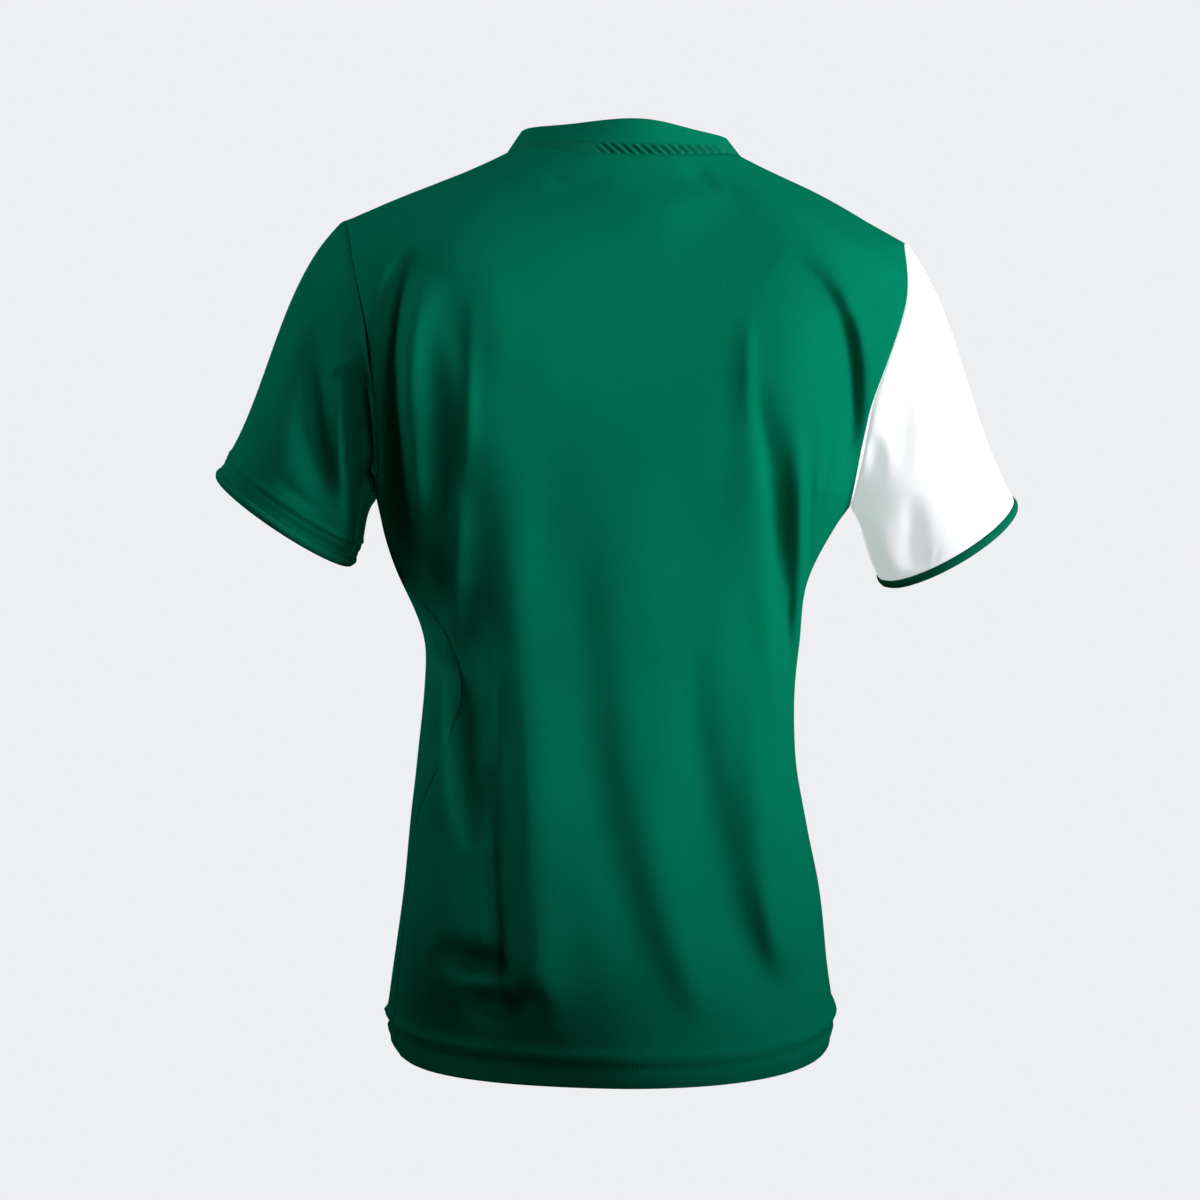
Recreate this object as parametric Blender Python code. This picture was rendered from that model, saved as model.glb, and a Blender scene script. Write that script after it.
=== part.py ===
"""A short-sleeved football jersey, filled out as it is worn, with the neck, cuffs and hem open.

Front towards -Y, the wearer's left towards +X, +Z up. The origin is the middle of the neck, level
with the shoulders that carry the garment. Every piece is a thin wall cut from one smooth outer form.
All sizes below are millimetres; the meshes are made in metres.
"""

from collections import namedtuple
from math import cos, radians, sin

import bmesh
import bpy
import numpy as np
from mathutils.kdtree import KDTree

MM = 0.001
CLOTH = 1.2  # one layer of knit, with the air in its seams
TURNED_CLOTH = 2.2  # two layers, where an edge is turned up
BINDING_CLOTH = 3.0  # the rolled strip round each cuff
SEAM_GAP = 0.36  # between two pieces along a seam

HALF_COLUMNS = 12  # grid cells from a body panel's edge to its centre line
SIDE_ROWS = 17  # grid rows from the hem to the underarm
HEM_ROWS = 1  # how many of them are turned up
ARMHOLE_ROWS = 10
SHOULDER_ROWS = 4
SLEEVE_ROWS = 8

FLATNESS = 0.62  # how far a level runs straight across the centre line, as a share of its half width
EDGE_FULLNESS = 0.58  # the same, for how long it keeps the direction that it has at the seam

GREEN = (0.003, 0.155, 0.085)
TRIM_GREEN = (0.012, 0.20, 0.11)
WHITE = (0.86, 0.87, 0.89)

# From the hem to the underarm. left and right are the widest points' distances from the centre plane,
# y_left and y_right how far back they lie, back and front the depth on the centre line. pulled is how
# far the left seam is drawn round to the back from there. fall is how steeply, in degrees, a level of
# the back drops as it leaves the side, for the tail of the hem.
Side = namedtuple("Side", "z_left z_right left right y_left y_right pulled back back_z fall front front_z")
SIDES = [
    Side(-655, -648, 189, 155, 12, 4, 26, 116, -680, 20, -112, -660),
    Side(-600, -596, 181, 147, 14, 4, 16, 115, -616, 16, -112, -604),
    Side(-545, -542, 173, 141, 16, 4, 12, 111, -556, 7, -110, -547),
    Side(-490, -488, 168, 130, 22, 4, 16, 105, -496, 2, -107, -490),
    Side(-438, -436, 163, 122, 30, 4, 38, 98, -440, 0, -105, -438),
    Side(-392, -390, 158, 124, 30, 4, 44, 94, -392, 0, -105, -392),
    Side(-350, -350, 157, 127, 20, 4, 34, 94, -350, 0, -106, -350),
    Side(-312, -314, 176, 130, 10, 3, 18, 98, -310, 0, -109, -312),
    Side(-278, -284, 187, 145, 4, 2, 5, 104, -273, 0, -113, -278),
    Side(-250, -256, 191, 167, 0, 0, 0, 110, -243, 0, -116, -250),
]

# From the underarm to the shoulder point, up the back and the front of the arm. turn is how far a
# level has turned from straight across, in degrees, when it meets the seam.
Armhole = namedtuple(
    "Armhole",
    "z_left z_right back_left back_right back_y front_left front_right front_y turn "
    "back back_z front front_z",
)
ARMHOLES = [
    Armhole(-250, -256, 191, 167, 0, 191, 167, 0, 90, 110, -243, -116, -250),
    Armhole(-212, -222, 196, 167, 42, 184, 164, -40, 68, 114, -208, -117, -220),
    Armhole(-170, -184, 200, 172, 60, 181, 164, -55, 56, 117, -172, -115, -190),
    Armhole(-128, -143, 206, 187, 61, 186, 172, -56, 54, 114, -136, -109, -162),
    Armhole(-84, -99, 213, 203, 44, 200, 190, -44, 62, 107, -104, -101, -137),
    Armhole(-43, -55, 216, 209, 6, 216, 209, 6, 84, 99, -76, -95, -118),
]

# Along the shoulder seam to the neck. rise is how steeply, in degrees, the cloth still climbs
# forwards as it crosses the seam, because the left seam lies a little behind the ridge.
Shoulder = namedtuple(
    "Shoulder", "z_left z_right left right y_left y_right rise_left rise_right back back_z front front_z"
)
SHOULDERS = [
    Shoulder(-43, -55, 216, 209, 6, 6, 8, 4, 99, -76, -95, -118),
    Shoulder(-27, -36, 176, 172, 12, 4, 18, 6, 90, -50, -89, -107),
    Shoulder(-11, -16, 136, 136, 12, 2, 14, 2, 79, -24, -83, -97),
    Shoulder(6, 4, 96, 83, 8, 0, -9, -10, 66, 1, -78, -88),
]

# A sleeve's end: its middle, how far it swings out and forwards from straight down, its width seen
# from behind and from the side, and how much of its first direction is straight out from the body.
Sleeve = namedtuple("Sleeve", "side x y z swing_out swing_forward width depth outwards")
SLEEVES = {
    "left": Sleeve(1, 256, -22, -261, 33, 12, 121, 118, 0.25),
    "right": Sleeve(-1, -245, -19, -278, 33, 10, 119, 118, 0.14),
}
BINDING_HEIGHT = 6.5
BINDING_BULGE = 1.6

# The neck's trim: a narrow tape on the seam, and a stand above it that leans in towards the neck, by
# lean degrees from upright. The sizes are for the four quarters of the way round.
TAPE_HEIGHT = 8.5
Stand = namedtuple("Stand", "height lean")
STAND_BACK = Stand(19, 10)
STAND_FRONT = Stand(13, 34)
STAND_LEFT = Stand(11, 34)
STAND_RIGHT = Stand(8, 38)

# The largest folds: a ridge (height above 0) or a trough (below 0) along an arc seen from its side
# of the body. x and z are its ends, bow how far its middle lies to the wearer's left of the chord.
Fold = namedtuple("Fold", "side x_top z_top x_low z_low bow width height")
FOLDS = [
    Fold("back", 128, -95, 150, -430, -6, 15, 6.0),
    Fold("back", 166, -85, 196, -330, -2, 13, -8.0),
    Fold("back", 150, -150, 158, -400, 0, 10, -3.0),
    Fold("back", -84, -150, -112, -450, 10, 12, 5.0),
    Fold("back", -104, -200, -128, -430, 6, 8, -4.5),
    Fold("back", -142, -75, -158, -240, -14, 12, -6.5),
    Fold("back", 128, -450, 108, -610, 10, 16, -6.0),
    Fold("back", -20, -440, -66, -600, 6, 22, -5.0),
    Fold("back", -82, -470, -120, -600, 4, 20, -5.0),
    Fold("front", 118, -150, 140, -450, 4, 16, 5.0),
    Fold("front", 150, -120, 158, -380, 0, 14, -6.0),
    Fold("front", -112, -160, -118, -440, -4, 16, 5.0),
    Fold("front", -140, -120, -138, -380, 0, 14, -6.0),
    Fold("front", 44, -420, 70, -610, 0, 22, -5.0),
    Fold("front", -40, -460, -58, -620, 0, 20, -4.0),
]
FOLD_FADE = 60  # over this length a fold comes up at each of its ends


def unit(vectors):
    return vectors / np.linalg.norm(vectors, axis=-1, keepdims=True)


def smoothed(values, count):
    """count + 1 rows on a smooth curve through the rows of values, which are evenly spread along it."""
    values = np.asarray(values, float)
    last = len(values) - 1
    slopes = np.gradient(values, axis=0)
    at = np.linspace(0, last, count + 1)
    start = np.minimum(at.astype(int), last - 1)
    t = (at - start)[:, None]
    here, there = values[start], values[start + 1]
    leaving, arriving = slopes[start], slopes[start + 1]
    return (
        here * (2 * t**3 - 3 * t**2 + 1)
        + leaving * (t**3 - 2 * t**2 + t)
        + there * (3 * t**2 - 2 * t**3)
        + arriving * (t**3 - t**2)
    )


def evened(row, count):
    """count + 1 points evenly spaced along a row of points."""
    steps = np.linalg.norm(np.diff(row, axis=0), axis=1)
    along = np.concatenate([[0], np.cumsum(steps)])
    wanted = np.linspace(0, along[-1], count + 1)
    return np.stack([np.interp(wanted, along, column) for column in row.T], axis=1)


def half_levels(edges, ways, centres):
    """A fine curve at each level, from the side to the centre line.

    ways holds the direction from each edge into the cloth.
    """
    across = edges[:, 0] - centres[:, 0]
    reach = EDGE_FULLNESS * np.abs(((centres - edges) * ways).sum(axis=1))
    leaving = edges + ways * reach[:, None]
    arriving = centres.copy()
    arriving[:, 0] += across * FLATNESS
    t = np.linspace(0, 1, 12 * HALF_COLUMNS + 1)[None, :, None]
    p0, p1, p2, p3 = (p[:, None, :] for p in (edges, leaving, arriving, centres))
    return p0 * (1 - t) ** 3 + 3 * p1 * t * (1 - t) ** 2 + 3 * p2 * t**2 * (1 - t) + p3 * t**3


def cut_at_seam(backs, fronts, pulled):
    """Each level's back and front halves as evenly spaced points, parted where the seam lies."""
    back_rows, front_rows = [], []
    for back, front, distance in zip(backs, fronts, pulled):
        if distance > 0:
            steps = np.linalg.norm(np.diff(back, axis=0), axis=1)
            along = np.concatenate([[0], np.cumsum(steps)])
            seam = np.array([[np.interp(distance, along, column) for column in back.T]])
            front = np.concatenate([seam, back[along < distance][::-1], front[1:]])
            back = np.concatenate([seam, back[along > distance]])
        back_rows.append(evened(back, HALF_COLUMNS))
        front_rows.append(evened(front, HALF_COLUMNS))
    return np.array(back_rows), np.array(front_rows)


def body_levels():
    """Every level of the body, hem first: where each half starts and its direction, and the centre lines."""
    names = ("left_back", "left_front", "right_back", "right_front", "back", "front")
    parts = {name: [] for name in names}

    def add(name, *columns):
        parts[name].append(np.stack(np.broadcast_arrays(*columns), axis=1))

    for table, rows in ((SIDES, SIDE_ROWS), (ARMHOLES, ARMHOLE_ROWS), (SHOULDERS, SHOULDER_ROWS)):
        level = type(table[0])(*smoothed(table, rows).T)
        # A part's last level is the next one's first.
        level = level if table is SHOULDERS else type(level)(*(column[:-1] for column in level))
        for side, name in ((1, "left"), (-1, "right")):
            z = getattr(level, "z_" + name)
            if table is ARMHOLES:
                out, turned = side * np.cos(np.radians(level.turn)), np.sin(np.radians(level.turn))
                for face, away in (("back", 1), ("front", -1)):
                    x, y = getattr(level, f"{face}_{name}"), getattr(level, face + "_y")
                    add(f"{name}_{face}", side * x, y, z, -out, away * turned, 0 * z)
                continue
            x, y = getattr(level, name), getattr(level, "y_" + name)
            if table is SHOULDERS:
                climb = np.radians(getattr(level, "rise_" + name))
                slopes = {"back": climb, "front": climb}
            else:
                slopes = {"back": np.radians(level.fall), "front": 0 * z}
            for face, away in (("back", 1), ("front", -1)):
                slope = slopes[face]
                add(f"{name}_{face}", side * x, y, z, 0 * z, away * np.cos(slope), -away * np.sin(slope))
        if table is ARMHOLES:
            middle = (level.back_left - level.back_right) / 2
        else:
            middle = (level.left - level.right) / 2
        add("back", middle, level.back, level.back_z)
        add("front", middle, level.front, level.front_z)
    return {name: np.concatenate(rows) for name, rows in parts.items()}


def body_panels():
    """The back from its left edge to its right, and the front from its right to its left, hem first."""
    levels = body_levels()
    halves = {
        name: half_levels(rows[:, :3], rows[:, 3:], levels[name.split("_")[1]])
        for name, rows in levels.items()
        if "_" in name
    }
    pulled = np.zeros(len(levels["back"]))
    pulled[:SIDE_ROWS] = smoothed(SIDES, SIDE_ROWS)[:-1, Side._fields.index("pulled")]
    left_back, left_front = cut_at_seam(halves["left_back"], halves["left_front"], pulled)
    right_back, right_front = cut_at_seam(halves["right_back"], halves["right_front"], 0 * pulled)
    back = np.concatenate([left_back, right_back[:, -2::-1]], axis=1)
    front = np.concatenate([right_front, left_front[:, -2::-1]], axis=1)
    return back, front


def sleeve(side_name, back, front):
    """A sleeve's rows of points, from the armhole to the cuff, each row once round from the underarm."""
    s = SLEEVES[side_name]
    first, last = SIDE_ROWS, SIDE_ROWS + ARMHOLE_ROWS
    back_column, front_column = (0, -1) if s.side > 0 else (-1, 0)
    up_the_back = back[first : last + 1, back_column]
    down_the_front = front[first : last + 1, front_column][::-1]
    armhole = np.concatenate([up_the_back, down_the_front[1:]])

    out, forward = radians(s.swing_out), radians(s.swing_forward)
    along = np.array([s.side * sin(out) * cos(forward), -sin(forward), -cos(out) * cos(forward)])
    top = np.array([s.side * cos(out), 0, sin(out)])
    behind = np.cross(top, along) * s.side

    share = []
    for half in (up_the_back, down_the_front):
        steps = np.linalg.norm(np.diff(half, axis=0), axis=1)
        share.append(np.concatenate([[0], np.cumsum(steps)]) / steps.sum())
    angle = np.pi * np.concatenate([share[0] - 0.5, share[1][1:] + 0.5])
    middle = np.array([s.x, s.y, s.z])
    cuff = (
        middle
        + np.sin(angle)[:, None] * top * s.width / 2
        + np.cos(angle)[:, None] * behind * s.depth / 2
    )

    leaving = unit(s.outwards * np.array([s.side, 0, 0]) + (1 - s.outwards) * along)
    length = np.linalg.norm(cuff - armhole, axis=1)[None, :, None]
    t = np.linspace(0, 1, SLEEVE_ROWS + 1)[:, None, None]
    rows = (
        armhole * (2 * t**3 - 3 * t**2 + 1)
        + leaving * length * (t**3 - 2 * t**2 + t)
        + cuff * (3 * t**2 - 2 * t**3)
        + along * length * (t**3 - t**2)
    )
    return rows if s.side > 0 else rows[:, ::-1]


def cuff_binding(rows):
    """The strip below a sleeve's last row, bulging a little from it."""
    end = rows[-1]
    along = unit(end - rows[-2])
    out = unit(end - end[:-1].mean(axis=0))
    steps = ((0, 0.2), (0.5, 1), (1, 0.2))
    return np.array([end + along * BINDING_HEIGHT * s + out * BINDING_BULGE * b for s, b in steps])


def neck_ring(back, front):
    """The neckline from the left shoulder seam along the back and round the front to it again."""
    return np.concatenate([back[-1], front[-1][1:]])


def neck_trim(back, front):
    """The tape and the stand, as rows of points going up from the neckline."""
    ring = neck_ring(back, front)
    outwards = unit((ring - ring[:-1].mean(axis=0)) * (1, 1, 0))
    facing = outwards[:, 1:2]
    at_end = np.where(facing > 0, STAND_BACK, STAND_FRONT)
    at_side = np.where(outwards[:, :1] > 0, STAND_LEFT, STAND_RIGHT)
    height, lean = (at_side + (at_end - at_side) * np.abs(facing) ** 3).T[..., None]
    lean = np.radians(lean)
    way = np.array([0, 0, 1]) * np.cos(lean) - outwards * np.sin(lean)
    tape = np.array([ring + way * TAPE_HEIGHT * s for s in (0, 0.5, 1)])
    stand = np.array([ring + way * (TAPE_HEIGHT + height * s) for s in (0, 0.5, 1)])
    return tape, stand


def bump(distance, width):
    """1 on the line and 0 beyond about two widths of it, as a soft ridge is."""
    return np.exp(-((distance / width) ** 2))


def folded(points, normals, face, fixed):
    """The points moved along their normals by the folds on that face. fixed is 1 where they stay."""
    move = np.zeros(points.shape[:-1])
    for fold in FOLDS:
        if fold.side != face:
            continue
        start, end = np.array([fold.x_top, fold.z_top]), np.array([fold.x_low, fold.z_low])
        length = np.linalg.norm(end - start)
        way = (end - start) / length
        flat = points[..., [0, 2]] - start
        along = flat @ way
        t = np.clip(along / length, 0, 1)
        beside = flat @ np.array([-way[1], way[0]]) - fold.bow * 4 * t * (1 - t)
        ends = np.clip(np.minimum(along, length - along) / FOLD_FADE, 0, 1)
        move += fold.height * bump(beside, fold.width) * ends * ends * (3 - 2 * ends)
    facing = np.clip(np.abs(normals[..., 1]) / 0.4, 0, 1)
    return points + normals * (move * facing * (1 - fixed))[..., None]


def pinned(panel_rows):
    """1 on a body panel's seams, 0 two rows or columns in, or one column in below the underarm."""
    rows, columns = panel_rows.shape[:2]
    r, c = np.mgrid[0:rows, 0:columns]
    in_from_side = np.minimum(c, columns - 1 - c)
    reach = np.where(r < SIDE_ROWS, 1, 2)
    return np.maximum(np.clip(1 - in_from_side / reach, 0, 1), np.clip(1 - (rows - 1 - r) / 2, 0, 1))


def shared_normals(grids):
    """For each grid its outward normals, the same on both sides of a seam."""
    bm = bmesh.new()
    for grid in grids.values():
        verts = [[bm.verts.new(p) for p in row] for row in grid]
        for low, high in zip(verts, verts[1:]):
            for a, b, c, d in zip(low, low[1:], high[1:], high):
                bm.faces.new((a, b, c, d))
    bmesh.ops.remove_doubles(bm, verts=bm.verts, dist=0.01)
    bm.normal_update()
    tree = KDTree(len(bm.verts))
    bm.verts.ensure_lookup_table()
    for i, vert in enumerate(bm.verts):
        tree.insert(vert.co, i)
    tree.balance()
    found = {
        name: np.array([[bm.verts[tree.find(p)[1]].normal for p in row] for row in grid])
        for name, grid in grids.items()
    }
    bm.free()
    return found


def drawn_in(grid, gap):
    """The grid with its border pulled in by half a seam gap, so that neighbours stay apart."""
    grid = grid.copy()
    for edge, inner in ((0, 1), (-1, -2)):
        grid[edge] += unit(grid[inner] - grid[edge]) * gap / 2
        grid[:, edge] += unit(grid[:, inner] - grid[:, edge]) * gap / 2
    return grid


def material(name, colour, roughness):
    made = bpy.data.materials.new(name)
    made.use_nodes = True
    shader = made.node_tree.nodes["Principled BSDF"]
    shader.inputs["Base Color"].default_value = (*colour, 1)
    shader.inputs["Roughness"].default_value = roughness
    shader.inputs["Metallic"].default_value = 0
    return made


def wall(name, grid, normals, thickness, finish, gap=SEAM_GAP):
    """The closed solid between a grid and the same grid moved in by the cloth's thickness."""
    outer = drawn_in(grid, gap)
    inner = outer - normals * np.broadcast_to(thickness, grid.shape[:2])[..., None]
    bm = bmesh.new()
    sheets = [[[bm.verts.new(p * MM) for p in row] for row in face] for face in (outer, inner)]
    for sheet, turned in zip(sheets, (False, True)):
        for low, high in zip(sheet, sheet[1:]):
            for corners in zip(low, low[1:], high[1:], high):
                bm.faces.new(corners[::-1] if turned else corners)
    rims = []
    for sheet in sheets:
        columns = list(zip(*sheet))
        rims.append([*sheet[0], *columns[-1][1:], *sheet[-1][-2::-1], *columns[0][-2:0:-1]])
    outside, inside = rims
    for i in range(len(outside)):
        j = (i + 1) % len(outside)
        bm.faces.new((outside[j], outside[i], inside[i], inside[j]))
    mesh = bpy.data.meshes.new(name)
    bm.to_mesh(mesh)
    bm.free()
    mesh.shade_smooth()
    mesh.set_sharp_from_angle(angle=radians(50))
    mesh.materials.append(finish)
    made = bpy.data.objects.new(name, mesh)
    bpy.context.scene.collection.objects.link(made)
    return made


def hemmed(rows):
    """The wall's thickness over a body panel: two layers as far up as the hem, one above."""
    thickness = np.full(rows.shape[:2], CLOTH)
    thickness[: HEM_ROWS + 1] = TURNED_CLOTH
    return thickness


def main():
    for old in list(bpy.data.objects):
        bpy.data.objects.remove(old)
    green = material("green_knit", GREEN, 0.5)
    trim = material("green_trim", TRIM_GREEN, 0.55)
    white = material("white_knit", WHITE, 0.55)

    back, front = body_panels()
    smooth = shared_normals({"back": back, "front": front})
    back = folded(back, smooth["back"], "back", pinned(back))
    front = folded(front, smooth["front"], "front", pinned(front))

    tape, stand = neck_trim(back, front)
    grids = {"back": back, "front": front, "collar_tape": tape, "collar": stand}
    for side in SLEEVES:
        grids["sleeve_" + side] = sleeve(side, back, front)
        grids["cuff_binding_" + side] = cuff_binding(grids["sleeve_" + side])
    normals = shared_normals(grids)

    thickness = {
        "back": hemmed(back),
        "front": hemmed(front),
        "collar": TURNED_CLOTH,
        "cuff_binding_left": BINDING_CLOTH,
        "cuff_binding_right": BINDING_CLOTH,
    }
    finishes = {
        "sleeve_right": white,
        "collar_tape": trim,
        "cuff_binding_left": trim,
        "cuff_binding_right": trim,
    }
    for name, grid in grids.items():
        wall(name, grid, normals[name], thickness.get(name, CLOTH), finishes.get(name, green))


main()
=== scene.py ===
# Football jersey, filled out as it is worn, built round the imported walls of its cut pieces.
# Everything is in metres in the shared frame; tables are in millimetres.
from math import atan, cos, pi, radians, sin

import bmesh
import bpy
import numpy as np
from mathutils import Matrix, Vector


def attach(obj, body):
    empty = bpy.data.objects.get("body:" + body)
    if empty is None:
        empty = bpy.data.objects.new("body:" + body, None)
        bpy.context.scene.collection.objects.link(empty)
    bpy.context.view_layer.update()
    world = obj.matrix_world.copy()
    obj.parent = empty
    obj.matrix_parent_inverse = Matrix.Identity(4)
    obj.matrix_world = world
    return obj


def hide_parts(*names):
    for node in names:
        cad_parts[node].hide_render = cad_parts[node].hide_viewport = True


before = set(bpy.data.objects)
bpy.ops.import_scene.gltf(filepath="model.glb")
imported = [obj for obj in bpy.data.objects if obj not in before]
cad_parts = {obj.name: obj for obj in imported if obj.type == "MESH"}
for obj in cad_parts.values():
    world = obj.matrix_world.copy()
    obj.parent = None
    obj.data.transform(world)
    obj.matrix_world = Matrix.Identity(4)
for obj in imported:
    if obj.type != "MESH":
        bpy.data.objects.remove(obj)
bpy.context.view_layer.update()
bpy.ops.object.select_all(action="DESELECT")
mm = 0.001

viewTurn = radians(8)  # the camera stands this far round to the wearer's left, from straight behind


def seenFrom(points):
    # how far left and how high points stand in a view from the camera's side, in millimetres
    left = points[..., 0] * cos(viewTurn) - points[..., 1] * sin(viewTurn)
    return left / mm, points[..., 2] / mm


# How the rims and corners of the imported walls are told, in millimetres and degrees.
rim = {"short": 3.05, "merge": 0.05, "beside": 1.2, "corner": 52}


def outerSkin(bm):
    # a face of the wall's rim has an edge as short as the wall is thick; of the two stretches
    # between the rims, the outer one looks away from the middle
    middle = sum((v.co for v in bm.verts), Vector()) / len(bm.verts)
    rimFaces = {f for f in bm.faces if min(e.calc_length() for e in f.edges) < rim["short"] * mm}
    seen, best, bestSize = rimFaces, None, 0
    for start in bm.faces:
        if start in seen:
            continue
        seen.add(start)
        skin = [start]
        for face in skin:
            for other in {f for edge in face.edges for f in edge.link_faces} - seen:
                seen.add(other)
                skin.append(other)
        size = sum(f.calc_area() * f.normal.dot(f.calc_center_median() - middle) for f in skin)
        if size > bestSize:
            best, bestSize = set(skin), size
    return best


def borderLoop(skin):
    border = {}
    for face in skin:
        for edge in face.edges:
            if sum(f in skin for f in edge.link_faces) == 1:
                for vert in edge.verts:
                    border.setdefault(vert, []).append(edge.other_vert(vert))
    if not border or any(len(ways) != 2 for ways in border.values()):
        return []
    loop = [next(iter(border))]
    loop.append(border[loop[0]][0])
    while True:
        one, two = border[loop[-1]]
        follower = two if one is loop[-2] else one
        if follower is loop[0]:
            return loop
        loop.append(follower)


def firstRow(loop, lowestFirst, isTube):
    # where a row can end: next to the other side of a tube's seam, or at a sharp corner of a panel
    count, ends = len(loop), []
    for i, vert in enumerate(loop):
        before, after = loop[i - 1], loop[(i + 1) % count]
        if isTube:
            beside = (before, vert, after)
            if any(o not in beside and (o.co - vert.co).length < rim["beside"] * mm for o in loop):
                ends.append(i)
        elif (vert.co - before.co).angle(after.co - vert.co) > radians(rim["corner"]):
            ends.append(i)
    ends.sort(key=lambda i: loop[i].co.z, reverse=not lowestFirst)
    start, stop, *others = ends
    for step in (1, -1):
        path = [start]
        while path[-1] != stop and (len(path) == 1 or path[-1] not in others):
            path.append((path[-1] + step) % count)
        if path[-1] == stop:
            return path, step
    raise ValueError("the border has no first row")


def peeled(skin, loop, path, step):
    # row by row from the first, each starting one step up the border
    verts = {v for face in skin for v in face.verts}
    nextTo = {v: set() for v in verts}
    for face in skin:
        for edge in face.edges:
            one, two = edge.verts
            nextTo[one].add(two)
            nextTo[two].add(one)
    rows = [[loop[i] for i in path]]
    used = set(rows[0])
    while len(used) < len(verts):
        fresh = set().union(*(nextTo[v] for v in rows[-1])) - used
        row = [loop[(path[0] - step * len(rows)) % len(loop)]]
        fresh.discard(row[0])
        while nextTo[row[-1]] & fresh:
            row.append((nextTo[row[-1]] & fresh).pop())
            fresh.discard(row[-1])
        if fresh or len(row) != len(rows[0]):
            raise ValueError(f"row {len(rows)} doesn't match the first")
        rows.append(row)
        used.update(row)
    return rows


def outerGrid(name, lowestFirst, isTube):
    # the outer skin of a packed wall as rows of points; the first row is its lowest or highest border
    bm = bmesh.new()
    bm.from_mesh(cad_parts[name].data)
    bmesh.ops.remove_doubles(bm, verts=bm.verts, dist=rim["merge"] * mm)
    skin = outerSkin(bm)
    loop = borderLoop(skin)
    path, step = firstRow(loop, lowestFirst, isTube)
    rows = peeled(skin, loop, path, step)
    grid = np.array([[tuple(v.co) for v in row] for row in rows])
    facing = np.cross(grid[0, 1] - grid[0, 0], grid[1, 0] - grid[0, 0])
    normal = next(np.array(f.normal) for f in skin if rows[0][0] in f.verts)
    bm.free()
    return grid if facing @ normal > 0 else grid[:, ::-1]


def splineMatrix(knots, at):
    # takes values at the knots to values on a natural cubic spline through them
    knots, at = np.asarray(knots, float), np.asarray(at, float)
    n, h = len(knots), np.diff(knots)
    bends, sides = np.eye(n), np.zeros((n, n))
    for i in range(1, n - 1):
        bends[i, i - 1 : i + 2] = h[i - 1], 2 * (h[i - 1] + h[i]), h[i]
        sides[i, i - 1 : i + 2] = 6 / h[i - 1], -6 / h[i - 1] - 6 / h[i], 6 / h[i]
    curve = np.linalg.solve(bends, sides)
    where = np.clip(np.searchsorted(knots, at, side="right") - 1, 0, n - 2)
    width, t = h[where], (at - knots[where]) / h[where]
    found = np.zeros((len(at), n))
    line = np.arange(len(at))
    found[line, where] += 1 - t
    found[line, where + 1] += t
    a = ((1 - t) ** 3 - (1 - t)) * width**2 / 6
    b = (t**3 - t) * width**2 / 6
    return found + a[:, None] * curve[where] + b[:, None] * curve[where + 1]


def brokenMatrix(count, at, breaks):
    # the same with evenly spaced knots, in stretches that meet at corners
    found = np.zeros((len(at), count))
    stops = [0, *breaks, count - 1]
    for low, high in zip(stops, stops[1:]):
        inside = (at >= low) & ((at < high) if high < count - 1 else (at <= high))
        found[inside, low : high + 1] = splineMatrix(np.arange(low, high + 1), at[inside])
    return found


def finer(grid, rowParts, columnParts, rowBreaks=(), columnBreaks=(), reach=2.5):
    # a smooth fine grid through a coarse one; breaks are corners of the border that soon fade inside it
    def places(count, parts):
        parts = np.broadcast_to(parts, count - 1)
        return np.concatenate([[0]] + [i + np.arange(1, n + 1) / n for i, n in enumerate(parts)])

    def spaced(points, at, axis):
        steps = np.linalg.norm(np.diff(points, axis=axis), axis=2).mean(axis=1 - axis)
        knots = np.concatenate([[0], np.cumsum(steps)])
        return splineMatrix(knots, np.interp(at, np.arange(len(knots)), knots))

    def fades(count, both):
        steps = np.arange(count)
        away = np.minimum(steps, count - 1 - steps) if both else steps
        return np.clip(1 - away / reach, 0, 1) ** 2

    rowAt, columnAt = places(grid.shape[0], rowParts), places(grid.shape[1], columnParts)
    found = np.einsum("ij,jck->ick", spaced(grid, rowAt, 0), grid)
    if rowBreaks:
        broken = np.einsum("ij,jck->ick", brokenMatrix(grid.shape[0], rowAt, rowBreaks), grid)
        share = fades(grid.shape[1], True)[None, :, None]
        found = broken * share + found * (1 - share)
    wide = np.einsum("ij,rjk->rik", spaced(grid, columnAt, 1), found)
    if columnBreaks:
        broken = np.einsum("ij,rjk->rik", brokenMatrix(grid.shape[1], columnAt, columnBreaks), found)
        share = np.interp(rowAt, np.arange(grid.shape[0]), fades(grid.shape[0], False))[:, None, None]
        wide = broken * share + wide * (1 - share)
    return wide


def eased(grid, rows, spread=4, rounds=12):
    # takes the slope breaks out of the middle of a panel, near the rows where its border turns a corner
    grid = grid.copy()
    steps = np.arange(grid.shape[0])
    near = sum(np.exp(-(((steps - row) / spread) ** 2)) for row in rows)
    columns = np.arange(grid.shape[1])
    inside = np.clip(np.minimum(columns, grid.shape[1] - 1 - columns) / 3, 0, 1)
    share = 0.5 * np.clip(near, 0, 1)[1:-1, None, None] * inside[None, :, None]
    for _ in range(rounds):
        grid[1:-1] += ((grid[:-2] + grid[2:]) / 2 - grid[1:-1]) * share
    return grid


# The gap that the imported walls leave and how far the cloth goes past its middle; then how deep the
# cloth turns in at a seam, in which steps, and what share of that it still goes on outwards.
seam = {"gap": 0.36, "overlap": 0.25, "tuck": 3.2, "steps": (0.3, 1), "onwards": 0.12}


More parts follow.
